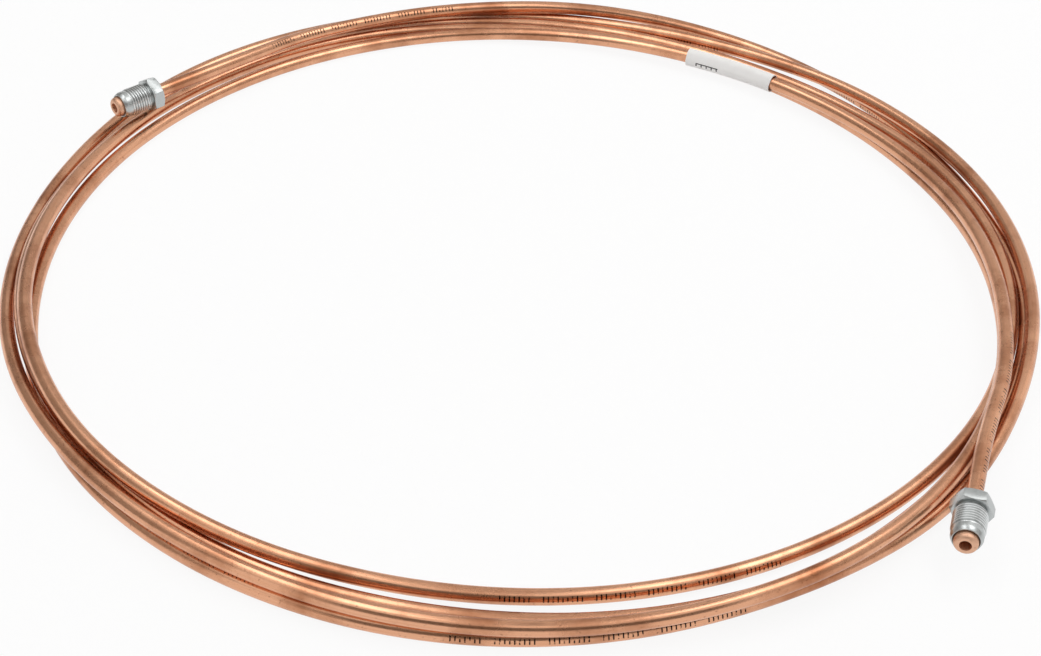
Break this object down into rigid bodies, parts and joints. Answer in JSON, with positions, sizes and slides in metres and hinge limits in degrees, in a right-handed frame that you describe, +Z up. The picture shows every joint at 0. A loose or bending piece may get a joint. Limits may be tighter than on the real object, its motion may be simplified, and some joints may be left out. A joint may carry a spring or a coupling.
{
  "type": "copper tube coil",
  "caption": "Loose flat coil of thin copper brake tube with flared ends, plated steel tube nuts and a paper label sleeve.",
  "frame": {"origin": "middle of the coil's footprint, on the floor it lies on", "axes": "+Z up through the coil's eye, -Y the side nearest the camera in the picture"},
  "size_m": [0.34, 0.3458, 0.0193],
  "materials": {
    "copper": "drawn copper",
    "zinc_plate": "bright zinc plate",
    "label": "matt"
  },
  "bodies": {
    "root": {"copper_tube": "copper", "tube_nut_start": "zinc_plate", "tube_nut_end": "zinc_plate", "label_sleeve": "label"}
  },
  "joints": []
}
